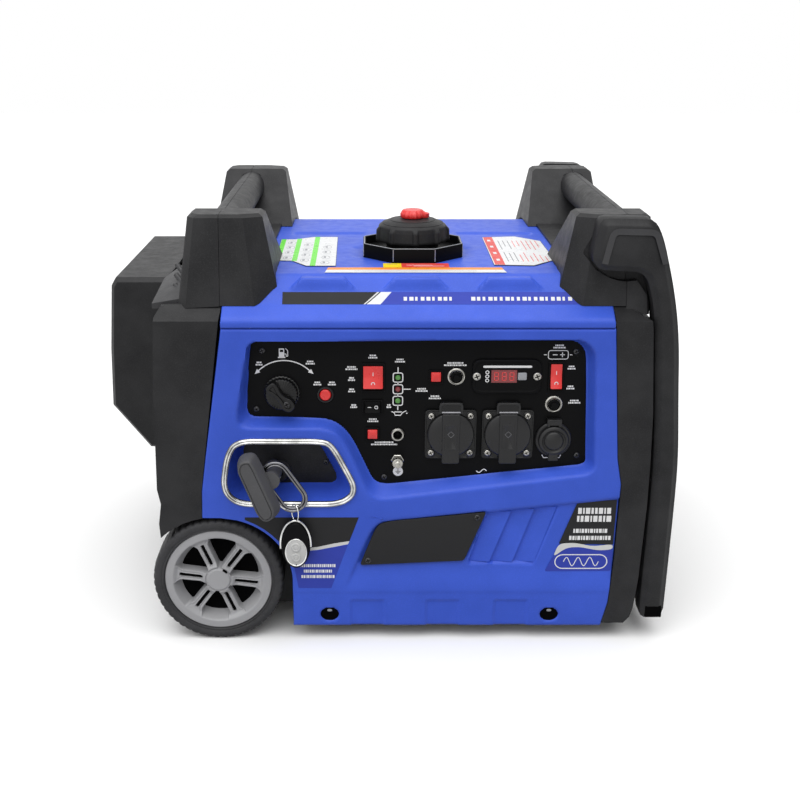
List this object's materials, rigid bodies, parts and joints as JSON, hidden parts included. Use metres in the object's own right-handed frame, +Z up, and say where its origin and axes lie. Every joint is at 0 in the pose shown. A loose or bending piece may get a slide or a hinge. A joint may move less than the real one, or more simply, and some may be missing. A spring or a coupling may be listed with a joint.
{
  "type": "inverter generator",
  "caption": "Suitcase-style inverter generator on two wheels, with carry handles, a folding trolley handle, a control panel with sockets, and a recoil starter.",
  "frame": {"origin": "middle of the footprint, on the ground", "axes": "+X along the casing away from the wheels, -Y is the control side, +Z up"},
  "size_m": [0.57, 0.459, 0.431],
  "materials": {
    "blue_shell": "fine-grained moulded plastic, satin",
    "black_shell": "grained moulded plastic",
    "gloss_black": "smooth",
    "socket_black": "satin",
    "red_plastic": "smooth",
    "wheel_grey": "satin",
    "tyre_rubber": "matt",
    "chrome": "polished",
    "zinc_steel": "zinc plated",
    "cast_alloy": "as cast",
    "painted_steel": "satin black",
    "rope": "braided"
  },
  "bodies": {
    "casing": {"base_tray": "black_shell", "front_panel": "blue_shell", "rear_panel": "blue_shell", "top_cover": "blue_shell", "left_end_cap": "black_shell", "right_end_cap": "black_shell", "intake_cover": "black_shell", "left_handle_shell": "black_shell", "right_handle_shell": "black_shell", "trolley_pivot_rod": "zinc_steel", "foot_front": "tyre_rubber", "foot_rear": "tyre_rubber", "axle": "zinc_steel", "control_panel": "gloss_black", "socket_left": "socket_black", "socket_right": "socket_black", "dc_socket": "socket_black", "meter_module": "gloss_black", "comm_jack": "chrome", "ground_stud": "zinc_steel", "name_plate": "gloss_black", "recoil_plate": "black_shell", "recess_trim": "chrome", "recoil_housing": "painted_steel", "engine_block": "cast_alloy", "engine_cradle": "painted_steel", "alternator_stator": "zinc_steel", "muffler": "zinc_steel", "carburettor": "cast_alloy", "air_filter": "black_shell", "fuel_tank": "black_shell", "inverter_unit": "cast_alloy", "battery": "black_shell", "filler_collar": "black_shell"},
    "wheel_front": {"tyre_front": "tyre_rubber", "rim_front": "wheel_grey"},
    "wheel_rear": {"tyre_rear": "tyre_rubber", "rim_rear": "wheel_grey"},
    "trolley": {"trolley_handle": "black_shell"},
    "door": {"maintenance_door": "blue_shell"},
    "filler_cap": {"fuel_cap": "black_shell"},
    "vent": {"vent_knob": "red_plastic"},
    "dial": {"fuel_dial": "socket_black"},
    "stop": {"stop_button": "red_plastic"},
    "engine_switch": {"engine_rocker": "red_plastic"},
    "economy_switch": {"economy_rocker": "gloss_black"},
    "battery_switch": {"battery_rocker": "red_plastic"},
    "remote_start": {"remote_button": "red_plastic"},
    "reset": {"reset_button": "red_plastic"},
    "ac_breaker": {"ac_breaker_button": "gloss_black"},
    "dc_breaker": {"dc_breaker_button": "gloss_black"},
    "left_flap": {"flap_left": "socket_black"},
    "right_flap": {"flap_right": "socket_black"},
    "dc_flap": {"dc_lid": "socket_black"},
    "recoil": {"recoil_grip": "tyre_rubber", "recoil_rope": "rope"},
    "reel": {"recoil_reel": "black_shell"},
    "crank": {"crank_rotor": "zinc_steel"},
    "loop": {"key_loop": "chrome"},
    "fob": {"remote_fob": "gloss_black"}
  },
  "joints": [
    {"name": "wheel_front_spin", "type": "hinge", "parent": "casing", "child": "wheel_front", "pos_m": [-0.169, -0.18, 0.0655], "axis": [0, 1, 0], "continuous": true},
    {"name": "wheel_rear_spin", "type": "hinge", "parent": "casing", "child": "wheel_rear", "pos_m": [-0.169, 0.208, 0.0655], "axis": [0, 1, 0], "continuous": true},
    {"name": "trolley_swing", "type": "hinge", "parent": "casing", "child": "trolley", "pos_m": [0.226, 0.014, 0.411], "axis": [0, -1, 0], "range_deg": [0, 115]},
    {"name": "door_swing", "type": "hinge", "parent": "casing", "child": "door", "pos_m": [-0.1216, 0.228, 0.206], "axis": [0, 0, 1], "range_deg": [0, 110]},
    {"name": "cap_turn", "type": "hinge", "parent": "casing", "child": "filler_cap", "pos_m": [0.028, -0.051, 0.396], "axis": [0, 0, 1], "range_deg": [0, 120]},
    {"name": "vent_turn", "type": "hinge", "parent": "filler_cap", "child": "vent", "pos_m": [0.028, -0.051, 0.411], "axis": [0, 0, 1], "range_deg": [0, 90]},
    {"name": "dial_turn", "type": "hinge", "parent": "casing", "child": "dial", "pos_m": [-0.101, -0.189, 0.261], "axis": [0, -1, 0], "range_deg": [0, 90]},
    {"name": "stop_press", "type": "slide", "parent": "casing", "child": "stop", "axis": [0, 1, 0], "range_m": [0, 0.003], "stiffness_N_per_m": 300, "springref_m": -0.003},
    {"name": "engine_switch_tilt", "type": "hinge", "parent": "casing", "child": "engine_switch", "pos_m": [-0.013, -0.1857, 0.276], "axis": [1, 0, 0], "range_deg": [0, 16]},
    {"name": "economy_switch_tilt", "type": "hinge", "parent": "casing", "child": "economy_switch", "pos_m": [-0.0135, -0.1857, 0.246], "axis": [1, 0, 0], "range_deg": [0, 16]},
    {"name": "battery_switch_tilt", "type": "hinge", "parent": "casing", "child": "battery_switch", "pos_m": [0.163, -0.1857, 0.277], "axis": [1, 0, 0], "range_deg": [0, 16]},
    {"name": "remote_press", "type": "slide", "parent": "casing", "child": "remote_start", "axis": [0, 1, 0], "range_m": [0, 0.002], "stiffness_N_per_m": 300, "springref_m": -0.003},
    {"name": "reset_press", "type": "slide", "parent": "casing", "child": "reset", "axis": [0, 1, 0], "range_m": [0, 0.002], "stiffness_N_per_m": 300, "springref_m": -0.003},
    {"name": "ac_breaker_trip", "type": "slide", "parent": "casing", "child": "ac_breaker", "axis": [0, -1, 0], "range_m": [0, 0.004]},
    {"name": "dc_breaker_trip", "type": "slide", "parent": "casing", "child": "dc_breaker", "axis": [0, -1, 0], "range_m": [0, 0.004]},
    {"name": "left_flap_lift", "type": "hinge", "parent": "casing", "child": "left_flap", "pos_m": [0.0625, -0.1919, 0.24225], "axis": [-1, 0, 0], "range_deg": [0, 100], "stiffness_Nm_per_rad": 0.02, "springref_deg": -28.65},
    {"name": "right_flap_lift", "type": "hinge", "parent": "casing", "child": "right_flap", "pos_m": [0.118, -0.1919, 0.24225], "axis": [-1, 0, 0], "range_deg": [0, 100], "stiffness_Nm_per_rad": 0.02, "springref_deg": -28.65},
    {"name": "dc_flap_lift", "type": "hinge", "parent": "casing", "child": "dc_flap", "pos_m": [0.163, -0.1919, 0.2287], "axis": [-1, 0, 0], "range_deg": [0, 100]},
    {"name": "recoil_pull", "type": "slide", "parent": "casing", "child": "recoil", "axis": [0, -1, 0], "range_m": [0, 0.17], "stiffness_N_per_m": 20, "springref_m": -0.3},
    {"name": "reel_turn", "type": "hinge", "parent": "casing", "child": "reel", "pos_m": [-0.107, 0.014, 0.127], "axis": [1, 0, 0], "range_deg": [0, 222]},
    {"name": "crank_spin", "type": "hinge", "parent": "casing", "child": "crank", "pos_m": [0.028, 0.014, 0.127], "axis": [1, 0, 0], "continuous": true},
    {"name": "loop_swing", "type": "hinge", "parent": "recoil", "child": "loop", "pos_m": [-0.109, -0.209, 0.177], "axis": [0, 1, 0], "range_deg": [-25, 20]},
    {"name": "fob_swing", "type": "hinge", "parent": "loop", "child": "fob", "pos_m": [-0.0915, -0.209, 0.1464], "axis": [0, 1, 0], "range_deg": [-15, 15]}
  ],
  "couplings": [
    {"joint": "reel_turn", "follows": "recoil_pull", "rad_per_m": 22.321}
  ]
}
